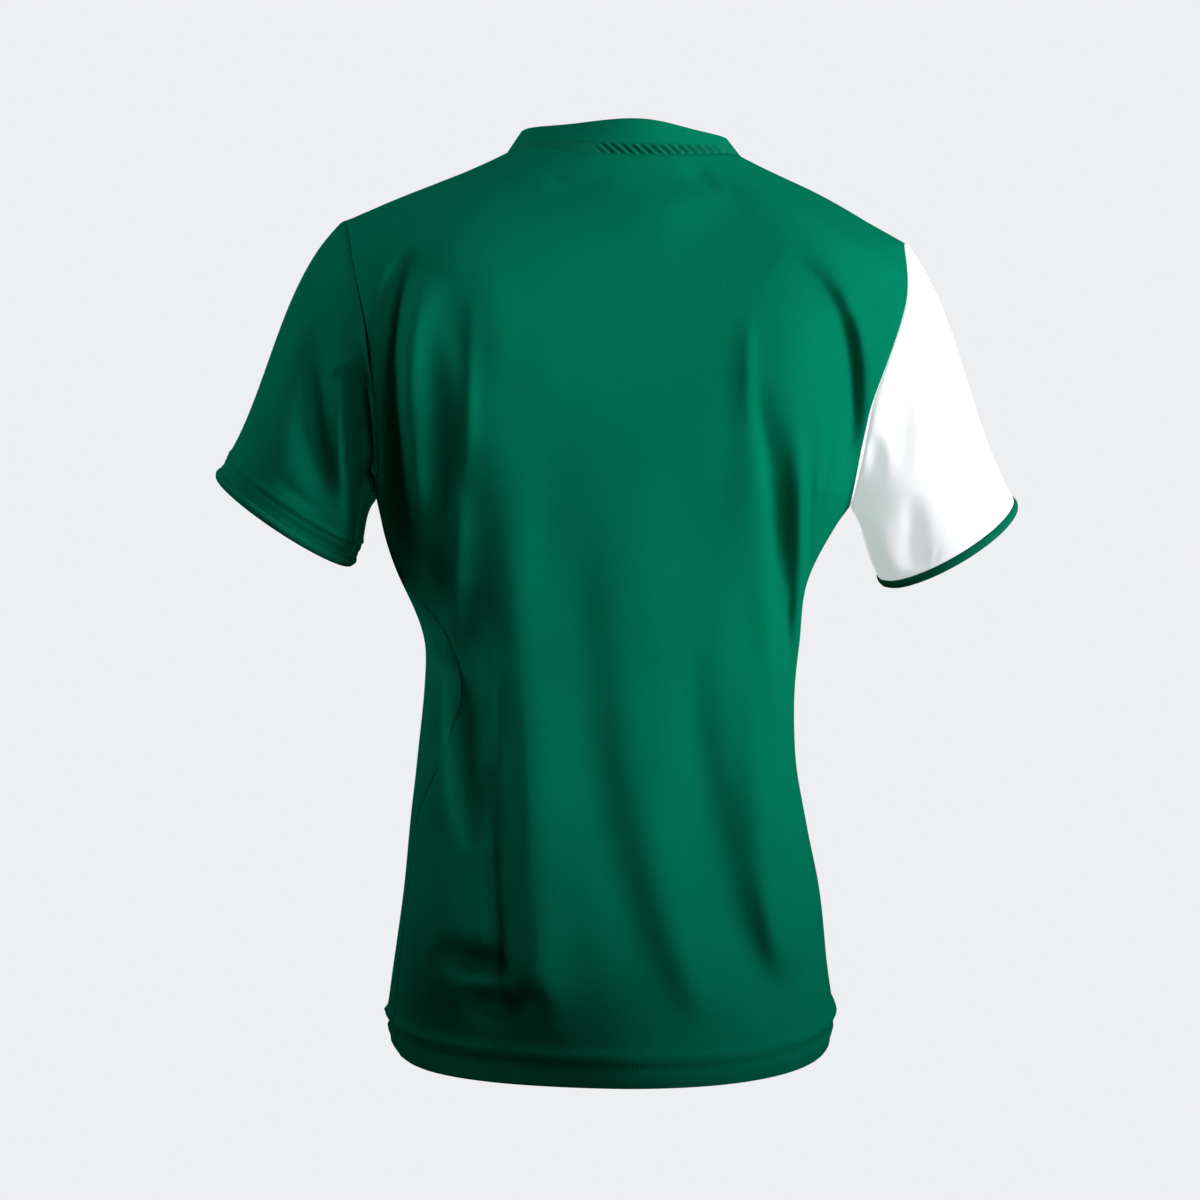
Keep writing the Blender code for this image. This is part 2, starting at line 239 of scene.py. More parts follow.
def closed(grid, borders):
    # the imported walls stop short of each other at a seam; here they meet
    grid = grid.copy()
    reach = (seam["gap"] / 2 + seam["overlap"]) * mm
    sides = {"first": (0, 1), "last": (-1, -2)}
    for border in borders:
        if border in sides:
            edge, inside = sides[border]
            away = grid[edge] - grid[inside]
            grid[edge] += away / np.linalg.norm(away, axis=-1, keepdims=True) * reach
        else:
            edge, inside = (0, 1) if border == "start" else (-1, -2)
            away = grid[:, edge] - grid[:, inside]
            grid[:, edge] += away / np.linalg.norm(away, axis=-1, keepdims=True) * reach
    return grid


def tucked(grid, borders):
    # turns the cloth inwards along its seams, as the allowance inside them
    normals = gridNormals(grid)
    for border in borders:
        edge, inside = (0, 1) if border in ("first", "start") else (-1, -2)
        rowwise = border in ("first", "last")
        line = grid[edge] if rowwise else grid[:, edge]
        nextLine = grid[inside] if rowwise else grid[:, inside]
        down = -(normals[edge] if rowwise else normals[:, edge])
        away = line - nextLine
        away /= np.linalg.norm(away, axis=-1, keepdims=True)
        depth = seam["tuck"] * mm
        outwards = away * seam["onwards"] * depth
        extra = [line + down * depth * k + outwards * (1 - k) for k in seam["steps"]]
        if border in ("first", "start"):
            extra = extra[::-1]
        extra = np.stack(extra, axis=0 if rowwise else 1)
        parts = (extra, grid) if border in ("first", "start") else (grid, extra)
        grid = np.concatenate(parts, axis=0 if rowwise else 1)
        normals = gridNormals(grid)
    return grid


def gridNormals(grid):
    across = np.gradient(grid, axis=1)
    along = np.gradient(grid, axis=0)
    normals = np.cross(across, along)
    return normals / np.maximum(np.linalg.norm(normals, axis=2, keepdims=True), 1e-12)


def lengths(grid, axis):
    # how far along its row or column each point lies
    steps = np.linalg.norm(np.diff(grid, axis=axis), axis=2)
    start = np.zeros_like(steps[:1] if axis == 0 else steps[:, :1])
    return np.concatenate([start, np.cumsum(steps, axis=axis)], axis=axis)


def shell(name, grid, thickness, finish, roundParts=4, bulge=0.8):
    # a thin closed wall under a grid of points, with rounded borders and a map for the knit
    rows, columns = grid.shape[:2]
    thickness = np.broadcast_to(thickness, grid.shape[:2])[..., None]
    normals = gridNormals(grid)
    inner = grid - normals * thickness
    index = np.arange(rows * columns).reshape(rows, columns)
    offset = rows * columns

    ring = np.concatenate([index[0], index[1:, -1], index[-1, -2::-1], index[-2:0:-1, 0]])
    flatGrid, flatInner = grid.reshape(-1, 3), inner.reshape(-1, 3)
    outward = np.zeros((rows, columns, 3))
    for edge, inside in ((0, 1), (-1, -2)):
        outward[edge] += grid[edge] - grid[inside]
        outward[:, edge] += grid[:, edge] - grid[:, inside]
    outward = outward.reshape(-1, 3)[ring]
    outward /= np.linalg.norm(outward, axis=1, keepdims=True)
    middle = (flatGrid[ring] + flatInner[ring]) / 2
    up = flatGrid[ring] - middle
    half = np.linalg.norm(up, axis=1, keepdims=True)
    rims = [
        middle + up * cos(pi * k / roundParts) + outward * half * bulge * sin(pi * k / roundParts)
        for k in range(1, roundParts)
    ]
    points = np.concatenate([flatGrid, flatInner, *rims])

    a, b, c, d = index[:-1, :-1], index[:-1, 1:], index[1:, 1:], index[1:, :-1]
    outerFaces = np.stack([a, b, c, d], axis=-1).reshape(-1, 4)
    innerFaces = outerFaces[:, ::-1] + offset
    sides = [ring] + [2 * offset + k * len(ring) + np.arange(len(ring)) for k in range(roundParts - 1)]
    sides.append(ring + offset)
    rimFaces = [
        np.stack([np.roll(upper, -1), upper, lower, np.roll(lower, -1)], axis=1)
        for upper, lower in zip(sides, sides[1:])
    ]
    faces = np.concatenate([outerFaces, innerFaces, *rimFaces])

    mesh = bpy.data.meshes.new(name)
    mesh.vertices.add(len(points))
    mesh.vertices.foreach_set("co", points.ravel())
    mesh.loops.add(faces.size)
    mesh.loops.foreach_set("vertex_index", faces.ravel())
    mesh.polygons.add(len(faces))
    mesh.polygons.foreach_set("loop_start", np.arange(0, faces.size, 4))
    mesh.polygons.foreach_set("loop_total", np.full(len(faces), 4))
    mesh.update(calc_edges=True)
    mesh.validate()
    # The map runs in decimetres across and along the cloth.
    u = lengths(grid, 1)
    u = u - u[:, columns // 2][:, None]
    flatMap = np.stack([u, lengths(grid, 0)], axis=-1).reshape(-1, 2) * 10
    flatMap = np.concatenate([flatMap, flatMap, *[flatMap[ring]] * (roundParts - 1)])
    layer = mesh.uv_layers.new(name="knitMap")
    layer.data.foreach_set("uv", flatMap[faces.ravel()].ravel())
    mesh.shade_smooth()
    mesh.materials.append(finish)
    piece = bpy.data.objects.new(name, mesh)
    bpy.context.scene.collection.objects.link(piece)
    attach(piece, "root")
    return piece


def smoothLine(values, parts=8):
    values = np.asarray(values, float)
    if values.ndim == 1:
        values = values[:, None]
    if len(values) == 2:
        at = np.linspace(0, 1, parts + 1)[:, None]
        return values[0] * (1 - at) + values[1] * at
    knots = np.arange(len(values))
    return splineMatrix(knots, np.linspace(0, len(values) - 1, parts * (len(values) - 1) + 1)) @ values


def creaseField(creases, left, up):
    # the sum of all creases at the given places, in millimetres
    move = np.zeros(left.shape)
    for fold in creases:
        line = smoothLine(fold["line"])
        height = smoothLine(fold["height"])[:, 0]
        leftReach, rightReach = fold["reach"]
        edge = 3.2 * max(leftReach, rightReach)  # past this the crease is flat
        low, high = line.min(axis=0) - edge, line.max(axis=0) + edge
        near = (left > low[0]) & (left < high[0]) & (up > low[1]) & (up < high[1])
        if not near.any():
            continue
        px, pz = left[near], up[near]
        bestGap = np.full(px.shape, 1e9)
        bestSide, bestHeight = np.zeros(px.shape), np.zeros(px.shape)
        for start, stop, h0, h1 in zip(line, line[1:], height, height[1:]):
            way = stop - start
            length = np.hypot(*way)
            t = np.clip(((px - start[0]) * way[0] + (pz - start[1]) * way[1]) / length**2, 0, 1)
            dx, dz = px - start[0] - way[0] * t, pz - start[1] - way[1] * t
            gap = np.hypot(dx, dz)
            closer = gap < bestGap
            bestGap = np.where(closer, gap, bestGap)
            bestSide = np.where(closer, (way[0] * dz - way[1] * dx) / length, bestSide)
            bestHeight = np.where(closer, h0 + (h1 - h0) * t, bestHeight)
        reach = np.where(bestSide > 0, leftReach, rightReach)
        move[near] += bestHeight * np.exp(-((bestGap / reach) ** fold["peak"]))
    return move


def crease(line, reach, height, peak=2):
    # its line seen from behind, (left, up) point by point from the top; its reach to the left and right
    # of the line; and its height at each point, out of the cloth above 0 and into it below, all in
    # millimetres; a low peak number makes a crisp crest and a high one a flat bottom with steep walls
    return {"line": line, "reach": reach, "height": height, "peak": peak}


# The left side, where the cloth folds over its own seam: these run across both panels.
sideCreases = [
    # crest of the long fold, from the shoulder blade down to the hip, and the flank behind it
    crease([(129, -225), (128, -250), (128, -280), (129, -310), (131, -345), (133, -385)],
           (7, 10), (0, 4, 8, 8, 5, 0), 1.7),
    crease([(150, -250), (147, -290), (142, -340), (139, -395)], (10, 8), (0, -4, -5, 0)),
    crease([(132, -315), (129, -360), (127, -405), (126, -440), (122, -475), (114, -510)],
           (8, 18), (0, -10, -16, -17, -12, 0)),
    crease([(146, -352), (140, -365), (134, -386)], (3, 3), (0, -3, 0)),
    crease([(152, -430), (148, -465), (142, -495)], (9, 12), (0, 3, 0)),
    # the cloth sinks in above the hem
    crease([(146, -580), (126, -588), (106, -592), (90, -588)], (13, 11), (0, -10, -17, 0)),
    crease([(130, -603), (108, -605), (88, -603)], (6, 6), (0, 3, 0)),
    crease([(128, -612), (112, -619), (94, -622), (76, -618), (62, -610)],
           (12, 10), (0, -9, -14, -7, 0)),
]

# The left armhole sinks in behind the arm: this runs across the back panel and the sleeve.
armpitCreases = [
    crease([(206, -140), (202, -165), (200, -190), (198, -214), (196, -236)],
           (11, 12), (0, -12, -20, -14, 0)),
]

backCreases = [
    # from the left armhole down, with the soft hollow beside it
    crease([(158, -70), (170, -90), (177, -122), (181, -160), (182, -205), (182, -250),
            (178, -290)], (8, 10), (0, -10, -19, -24, -24, -14, 0)),
    crease([(150, -88), (158, -118), (162, -155), (163, -190), (163, -225), (161, -260),
            (157, -300)], (9, 14), (0, 11, 18, 22, 22, 15, 0)),
    crease([(134, -80), (129, -112), (123, -135), (116, -160), (108, -190), (100, -215)],
           (16, 22), (0, -4, -7, -6, -3, 0)),
    # the crisp crest on the shoulder blade
    crease([(117, -105), (117, -140), (118, -180), (120, -215), (124, -245)],
           (4, 7), (0, 2, 3, 3, 0), 1.5),
    # the broad soft ridge inside the long fold
    crease([(90, -175), (89, -220), (88, -280), (86, -340), (85, -380), (82, -420)],
           (20, 20), (0, 4, 8, 8, 4, 0)),
    crease([(104, -340), (104, -380), (103, -430), (103, -480), (104, -520)],
           (7, 6), (0, 3, 3, 2, 0)),
    crease([(80, -370), (78, -410), (76, -460), (74, -510), (72, -555)], (11, 24), (0, 6, 9, 7, 2)),
    # what the long fold ends in, beside the hip
    crease([(106, -445), (104, -470), (103, -500), (105, -522), (112, -545)],
           (7, 5), (0, -4, -5, -4, 0), 1.6),
    crease([(99, -370), (99, -420), (99, -470), (99, -520), (98, -560), (96, -595), (92, -628)],
           (7, 6), (0, -3, -6, -8, -9, -6, 0)),
    crease([(70, -520), (68, -550), (72, -580), (70, -608), (60, -634)], (16, 22), (0, 3, 7, 8, 3)),
    # from the right armhole
    crease([(-112, -74), (-133, -91), (-150, -115), (-160, -146), (-163, -180), (-160, -212),
            (-152, -248)], (30, 8), (0, -5, -12, -18, -21, -16, 0), 1.8),
    crease([(-150, -95), (-166, -125), (-170, -160), (-168, -195)], (6, 8), (0, 3, 4, 0)),
    # down the right side: a soft rise, then a sharp step into the side of the fold
    crease([(-84, -115), (-84, -145), (-84, -175), (-86, -205)], (8, 5), (0, 3, 3, 0), 1.6),
    crease([(-91, -165), (-95, -200), (-101, -232), (-105, -268), (-108, -305), (-112, -345),
            (-116, -388), (-119, -430)], (6.5, 14), (0, -7, -12, -14, -14, -13, -9, 0), 1.8),
    crease([(-118, -185), (-122, -225), (-124, -260), (-125, -300), (-125, -345), (-127, -390)],
           (9, 5), (0, 5, 9, 14, 12, 0)),
    crease([(-133, -190), (-132, -240), (-131, -280), (-129, -325)], (3, 3), (0, -2.5, -2.5, 0)),
    crease([(-150, -190), (-144, -225), (-139, -255), (-134, -290)], (3, 4), (0, -3, -2, 0)),
    # the long slanting folds of the lower back
    crease([(40, -265), (38, -310), (36, -345), (33, -390), (30, -430), (26, -460), (21, -490),
            (13, -520), (4, -552), (-4, -585), (-12, -612)],
           (18, 16), (0, -2, -3, -2, -3, -4, -4, -4, -4, -2, 0)),
    crease([(10, -350), (5, -400), (2, -430), (-4, -460), (-11, -490), (-17, -520), (-24, -550),
            (-33, -580), (-44, -608), (-54, -634)], (14, 15), (0, 2, 2, 2, 3, 3, 4, 6, 6, 0)),
    crease([(-36, -215), (-40, -260), (-42, -310), (-41, -360)], (28, 34), (0, -3, -4, 0)),
    crease([(-42, -320), (-43, -370), (-46, -410), (-49, -440), (-55, -470), (-61, -495),
            (-68, -522), (-76, -552), (-87, -582), (-101, -608), (-114, -622)],
           (18, 16), (0, -3, -6, -8, -8, -7, -7, -7, -8, -5, 0)),
    crease([(-92, -370), (-93, -420), (-94, -460), (-96, -490), (-99, -520), (-103, -550),
            (-108, -580), (-120, -606)], (15, 30), (0, 5, 8, 10, 12, 13, 10, 0)),
    # the hem swings in on the left
    crease([(185, -645), (140, -658), (95, -664), (50, -668), (10, -670), (-30, -671), (-70, -671)],
           (60, 60), (-32, -44, -40, -25, -10, -3, 0)),
    # the roll over the shoulders and below the neck
    crease([(-50, -12), (-72, -20), (-102, -34), (-141, -52), (-177, -73), (-195, -90)],
           (42, 14), (0, 4, 12, 17, 14, 0)),
    crease([(96, -22), (130, -42), (165, -58), (192, -76)], (12, 24), (0, 3, 3, 0)),
    crease([(60, -26), (20, -36), (-30, -38), (-72, -24)], (22, 15), (0, 3, 6, 0)),
    crease([(64, -13), (44, -24), (14, -20)], (6, 6), (0, -2, 0)),
    crease([(-34, -8), (-52, -16), (-64, -26)], (5, 5), (0, -2.2, 0)),
    # a drag line that leaves the last fold's foot towards the hem
    crease([(-122, -598), (-113, -612), (-101, -624), (-86, -634)], (4, 5), (0, -2.5, -2.5, 0)),
]

# The plain front: seen from behind like the rest, but out of the cloth is forwards here.
frontCreases = [
    crease([(122, -150), (118, -205), (112, -265), (106, -335)], (20, 14), (0, 5, 7, 0)),
    crease([(-124, -140), (-116, -200), (-110, -270), (-106, -345)], (14, 20), (0, 6, 7, 0)),
    crease([(138, -100), (148, -140), (150, -185)], (10, 12), (0, -6, 0)),
    crease([(-142, -95), (-151, -138), (-150, -190)], (12, 10), (0, -7, 0)),
    crease([(72, -120), (30, -138), (-24, -136), (-66, -116)], (14, 16), (0, 2.5, 3, 0)),
    crease([(66, -300), (60, -380), (48, -470), (32, -560), (20, -616)],
           (18, 16), (0, -4, -7, -6, 0)),
    crease([(-28, -335), (-38, -420), (-52, -505), (-70, -590)], (16, 20), (0, 5, 7, 0)),
    crease([(-86, -365), (-91, -450), (-101, -540), (-113, -605)], (13, 18), (0, -6, -8, 0)),
    crease([(8, -390), (4, -465), (-8, -545), (-22, -612)], (17, 17), (0, -3, -5, 0)),
    crease([(118, -430), (114, -500), (104, -575), (96, -625)], (12, 16), (0, 4, 5, 0)),
]

leftSleeveCreases = [
    crease([(228, -85), (231, -120), (233, -160), (232, -200), (228, -235), (222, -262)],
           (12, 12), (0, -6, -11, -13, -9, 0)),
    crease([(214, -120), (213, -160), (212, -185), (212, -215), (210, -240), (211, -265),
            (216, -290)], (13, 5), (0, 5, 8, 9, 9, 7, 3), 1.6),
    crease([(213, -156), (205, -172), (202, -195), (200, -225), (198, -255), (199, -282),
            (202, -300)], (8, 14), (0, -16, -30, -38, -40, -36, -24), 2.6),
    crease([(262, -165), (259, -205), (252, -240)], (10, 12), (0, 3, 0)),
    crease([(262, -238), (245, -250), (228, -262)], (4, 6), (0, -2.5, 0)),
]

rightSleeveCreases = [
    crease([(-170, -256), (-184, -268), (-188, -282), (-193, -297), (-206, -313)],
           (5, 9), (0, 6, 9, 8, 2), 1.6),
    crease([(-168, -264), (-177, -284), (-186, -308)], (9, 6), (0, -8, 0)),
    crease([(-207, -245), (-211, -270), (-212, -290), (-216, -308)], (8, 8), (0, -5, -7, -2)),
    crease([(-224, -288), (-221, -300), (-222, -312)], (2.5, 2.5), (0, -1.5, 0)),
    crease([(-231, -284), (-228, -297), (-230, -307)], (2.5, 2.5), (0, -1.2, 0)),
    crease([(-180, -203), (-182, -225), (-176, -245)], (6, 6), (0, -5, 0)),
    crease([(-192, -105), (-198, -150), (-200, -190), (-199, -235)], (8, 9), (0, -2.5, -3, 0)),
    crease([(-214, -120), (-218, -180), (-214, -240)], (9, 9), (0, 2.5, 0)),
    crease([(-227, -105), (-233, -155), (-234, -215)], (7, 9), (0, -3, 0)),
]


def borderPinch(grid, sides, depth, reach):
    # how far the cloth dips towards its seams, in millimetres
    rows, columns = grid.shape[:2]
    u, v = lengths(grid, 1) / mm, lengths(grid, 0) / mm
    away = np.full((rows, columns), 1e9)
    if "start" in sides:
        away = np.minimum(away, u)
    if "end" in sides:
        away = np.minimum(away, u[:, -1:] - u)
    if "first" in sides:
        away = np.minimum(away, v)
    if "last" in sides:
        away = np.minimum(away, v[-1:] - v)
    return -depth * np.exp(-((away / reach) ** 2))


def moved(grid, millimetres):
    return grid + gridNormals(grid) * (millimetres * mm)[..., None]


def eased01(values):
    share = np.clip(values, 0, 1)
    return share * share * (3 - 2 * share)


# Where the creases fade: above the underarms, past the middle of the flank, and in the front half of a
# sleeve; and how deep they may be in a sleeve, as a share of its own depth.
fade = {"underarm": -215, "soft": 30, "sleeve": 12, "deepest": 1.3}


def belowArms(up):
    return eased01((fade["underarm"] - up) / fade["soft"])


def towardsCamera(grid, millimetres):
    return grid + (millimetres * mm)[..., None] * np.array([sin(viewTurn), cos(viewTurn), 0])


def creased(grid, creases, share):
    # creases stand out towards whoever looks from the camera's side, so they keep their lines, and two
    # pieces move alike where they meet; above the underarms only the back of the jersey has them
    left, up = seenFrom(grid)
    behind = np.maximum(eased01(grid[..., 1] / mm / fade["soft"]), belowArms(up))
    return towardsCamera(grid, creaseField(creases, left, up) * share * behind)


def creasedTube(grid, creases, share):
    # only the back half of a sleeve has creases, and none is as deep as the sleeve
    left, up = seenFrom(grid)
    depth = np.maximum(grid[..., 1] / mm, 0)
    move = creaseField(creases, left, up) * share * eased01(depth / fade["sleeve"])
    return towardsCamera(grid, np.maximum(move, -fade["deepest"] * depth))


knit = {
    "sheen": 0.05,
    "sheenRoughness": 0.35,
    "grain": 70,
    "ribs": 45,
    "stretch": (2.2, 0.25, 1),  # makes the ribs streaks a few millimetres long that follow the wales
    "mottle": (0.36, 0.64),
    "bump": 0.3,
    "yarn": 0.0004,
}
greenSheen = (0.0, 0.9, 0.62)


def knitMaterial(name, colour, darker, tint, roughness, gloss=0, glow=0):
    # a fine knit: mottled colour, ribs that run up the cloth and a pilled grain, all on its own map
    made = bpy.data.materials.new(name)
    made.use_nodes = True
    nodes, links = made.node_tree.nodes, made.node_tree.links
    shader = nodes["Principled BSDF"]
    shader.inputs["Roughness"].default_value = roughness
    # the glow is painted light: emission in the cloth's own colour that brightens pale cloth, its
    # shaded parts too, as stronger light would
    shader.inputs["Emission Color"].default_value = (*colour, 1)
    shader.inputs["Emission Strength"].default_value = glow
    shader.inputs["Specular IOR Level"].default_value = gloss
    shader.inputs["Specular Tint"].default_value = (*tint, 1)
    shader.inputs["Sheen Weight"].default_value = knit["sheen"]
    shader.inputs["Sheen Roughness"].default_value = knit["sheenRoughness"]
    shader.inputs["Sheen Tint"].default_value = (*tint, 1)
    place = nodes.new("ShaderNodeUVMap")
    place.uv_map = "knitMap"

    def noise(scale, detail, stretch=(1, 1, 1)):
        mapping = nodes.new("ShaderNodeMapping")
        mapping.inputs["Scale"].default_value = stretch
        links.new(place.outputs["UV"], mapping.inputs["Vector"])
        texture = nodes.new("ShaderNodeTexNoise")
        texture.inputs["Scale"].default_value = scale
        texture.inputs["Detail"].default_value = detail
        links.new(mapping.outputs["Vector"], texture.inputs["Vector"])
        return texture.outputs["Fac"]

    grain = noise(knit["grain"], 3)
    ribs = noise(knit["ribs"], 2, knit["stretch"])
    mixed = nodes.new("ShaderNodeMath")
    mixed.operation = "MULTIPLY_ADD"
    mixed.inputs[1].default_value = 0.5
    links.new(grain, mixed.inputs[0])
    half = nodes.new("ShaderNodeMath")
    half.operation = "MULTIPLY"
    half.inputs[1].default_value = 0.5
    links.new(ribs, half.inputs[0])
    links.new(half.outputs["Value"], mixed.inputs[2])
    ramp = nodes.new("ShaderNodeValToRGB")
    dark, full = ramp.color_ramp.elements
    dark.position, full.position = knit["mottle"]
    dark.color, full.color = (*[c * darker for c in colour], 1), (*colour, 1)
    links.new(mixed.outputs["Value"], ramp.inputs["Fac"])
    links.new(ramp.outputs["Color"], shader.inputs["Base Color"])
    bump = nodes.new("ShaderNodeBump")
    bump.inputs["Strength"].default_value = knit["bump"]
    bump.inputs["Distance"].default_value = knit["yarn"]
    links.new(mixed.outputs["Value"], bump.inputs["Height"])
    links.new(bump.outputs["Normal"], shader.inputs["Normal"])
    return made


greenKnit = knitMaterial("greenKnit", (0.0008, 0.2, 0.108), 0.88, greenSheen, 0.6)
# the white knit glows: painted light that keeps even its shaded side near white
whiteKnit = knitMaterial("whiteKnit", (0.84, 0.85, 0.87), 0.98, (1, 1, 1), 0.6, gloss=0.1, glow=0.55)
greenTrim = knitMaterial("greenTrim", (0.004, 0.2, 0.108), 0.8, greenSheen, 0.5)
print("knits made")


def bandField(above, bands):
    # ridges and grooves that run along a border
    return sum(height * np.exp(-(((above - at) / reach) ** 2)) for at, reach, height in bands)


stitch = {
    "length": 2.5,
    "width": 0.55,
    "rise": 0.4,
    "end": 0.25,  # each end's share of the length
    "dip": 0.3,  # how far an end dips, as a share of the rise
    "narrowed": (0.55, 0.5),  # an end's width and rise beside the middle's
    "bevel": 0.1,
    "lift": 0.1,
    "pitch": 3.3,
}


def threadStitch():
    # one float of thread: a bar whose ends narrow and dip into the cloth
    bpy.ops.object.select_all(action="DESELECT")
    bpy.ops.mesh.primitive_cube_add(size=mm)
    made = bpy.context.object
    bpy.ops.object.mode_set(mode="EDIT")
    bar = (1 - 2 * stitch["end"]) * stitch["length"]
    bpy.ops.transform.resize(value=(bar, stitch["width"], stitch["rise"]))
    for end in (-1, 1):
        bpy.ops.mesh.select_all(action="DESELECT")
        bm = bmesh.from_edit_mesh(made.data)
        for face in bm.faces:
            face.select_set(face.normal.x * end > 0.9)
        bmesh.update_edit_mesh(made.data)
        out, dip = end * stitch["end"] * stitch["length"] * mm, -stitch["dip"] * stitch["rise"] * mm
        bpy.ops.mesh.extrude_region_move(TRANSFORM_OT_translate={"value": (out, 0, dip)})
        bpy.ops.transform.resize(value=(1, *stitch["narrowed"]), center_override=(2 * out, 0, dip))
    bpy.ops.mesh.select_all(action="SELECT")
    bpy.ops.mesh.bevel(offset=stitch["bevel"] * mm, segments=1)
    bpy.ops.object.mode_set(mode="OBJECT")
    made.data.materials.append(greenTrim)
    bpy.ops.object.shade_smooth()
    made.select_set(False)
    return made


def sewnRows(name, grid, fromBorder, heights):
    # copies of one stitch in rows along a border, joined to one piece
    model, copies = threadStitch(), []
    normals = gridNormals(grid)
    rows = np.arange(grid.shape[0])
    for height in heights:
        at = [np.interp(height, fromBorder[:, j], rows) for j in range(grid.shape[1])]
        spots = [[np.interp(k, rows, grid[:, j, i]) for i in range(3)] for j, k in enumerate(at)]
        line = np.array(spots)
        outward = np.array([normals[int(round(k)), j] for j, k in enumerate(at)])
        along = np.concatenate([[0], np.cumsum(np.linalg.norm(np.diff(line, axis=0), axis=1))])
        count = int(along[-1] / mm / stitch["pitch"])
        for middle in (np.arange(count) + 0.5) * along[-1] / count:
            before, spot, after = (
                Vector([np.interp(middle + step * mm, along, line[:, i]) for i in range(3)])
                for step in (-1, 0, 1)
            )
            way = (after - before).normalized()
            up = Vector([np.interp(middle, along, outward[:, i]) for i in range(3)])
            up = (up - way * up.dot(way)).normalized()
            copy = model.copy()
            copy.data = model.data.copy()
            turned = Matrix((way, up.cross(way), up)).transposed().to_4x4()
            copy.matrix_world = Matrix.Translation(spot + up * stitch["lift"] * mm) @ turned
            bpy.context.scene.collection.objects.link(copy)
            copies.append(copy)
    bpy.data.objects.remove(model)
    bpy.ops.object.select_all(action="DESELECT")
    for copy in copies:
        copy.select_set(True)
    bpy.context.view_layer.objects.active = copies[0]
    bpy.ops.object.join()
    bpy.ops.object.transform_apply(location=True, rotation=True, scale=True)
    made = bpy.context.object
    made.name = name
    made.select_set(False)
    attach(made, "root")
    return made


body = {
    "corners": (17, 27),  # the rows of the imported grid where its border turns: underarm and shoulder
    "finer": (8, 7),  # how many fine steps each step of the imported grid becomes, up and across
    "thickness": 1.15,
    "seamPinch": 0.8,
    "seamReach": 2.2,
    # the cloth dips this much deeper at the armholes, above and outside this place, which softly ends
    "armhole": {"pinch": 1.6, "up": -250, "out": 100, "soft": (25, 20)},
    # and it doesn't dip at the neck, above and inside this place
    "neck": {"up": -45, "out": 104, "soft": (20, 12)},
    "neckFade": 14,  # over this length the folds of the back start below the neck seam
    "frontFade": 120,  # over this width they fade out past the side seams
    "ownFade": (45, 25),  # and over these the front's own begin, from its sides and from the top
    "flank": {"up": -238, "tall": 20, "wide": 16, "height": 3},
}
# Ridges and grooves along the hem: height above the edge, reach and height out of the cloth.
hem = {
    "bands": ((22, 2.8, 2.6), (14.5, 2.4, -2.6), (0, 9, -6)),
    "thickness": 2.2,
    "turn": 22,
    "step": 3,
    "stitchRows": (13.2, 15.8),
}


def hemThickness(above):
    share = np.clip((hem["turn"] - above) / hem["step"], 0, 1)
    return (body["thickness"] + (hem["thickness"] - body["thickness"]) * share) * mm


def bodyPanel(node, pieceName):
    grid = closed(eased(outerGrid(node, True, False), body["corners"]), ("start", "end", "last"))
    grid = finer(grid, *body["finer"], rowBreaks=body["corners"])
    above, along = lengths(grid, 0) / mm, lengths(grid, 1) / mm
    fromTop, fromSide = above[-1:] - above, np.minimum(along, along[:, -1:] - along)
    left, up = grid[..., 0] / mm, grid[..., 2] / mm
    if node == "back":
        share = eased01(fromTop / body["neckFade"])
    else:
        share = eased01(1 - fromSide / body["frontFade"]) * belowArms(up)
    shaped = creased(grid, backCreases + sideCreases + armpitCreases, share)
    if node == "front":
        sideFade, topFade = body["ownFade"]
        share = eased01(fromSide / sideFade) * eased01(fromTop / topFade)
        shaped = towardsCamera(shaped, -creaseField(frontCreases, *seenFrom(grid)) * share)
    bands = bandField(above, hem["bands"])
    # under the left arm the flank rounds out against the sleeve
    flank = body["flank"]
    near = ((up - flank["up"]) / flank["tall"]) ** 2 + (fromSide / flank["wide"]) ** 2
    bands += flank["height"] * np.exp(-near) * (left > 0)
    armhole, neck, out = body["armhole"], body["neck"], np.abs(left)
    softUp, softOut = armhole["soft"]
    atArmhole = eased01((up - armhole["up"]) / softUp) * eased01((out - armhole["out"]) / softOut)
    softUp, softOut = neck["soft"]
    atNeck = eased01((up - neck["up"]) / softUp) * eased01((neck["out"] - out) / softOut)
    pinch = body["seamPinch"] * (1 + armhole["pinch"] * atArmhole) * (1 - atNeck)
    bands += borderPinch(grid, ("start", "end", "last"), pinch, body["seamReach"])
    shaped = moved(shaped, bands)
    wall = tucked(shaped, ("start", "end", "last"))
    thick = np.pad(hemThickness(above), ((0, 2), (2, 2)), mode="edge")
    piece = shell(pieceName, wall, thick, greenKnit)
    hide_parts(node)
    rows = sewnRows(pieceName + "Stitches", shaped, above, hem["stitchRows"])
    return piece, wall, rows


backPiece, backWall, backStitches = bodyPanel("back", "backPanel")
frontPiece, frontWall, frontStitches = bodyPanel("front", "frontPanel")
print("body made")

sleeve = {
    "corner": 10,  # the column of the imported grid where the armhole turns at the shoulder
    "finer": 11,
    "thickness": 1.1,
    "pinch": 2.08,  # how far the cloth dips at the armhole seam
    "bodyFade": 30,  # over this length the body's folds fade out into the sleeve
    "ownFade": 8,  # over this length its own begin at the armhole, and lessen towards the cuff
    "atCuff": 0.2,
    "bindingThickness": 2.6,
    "bindingFiner": 4,
}
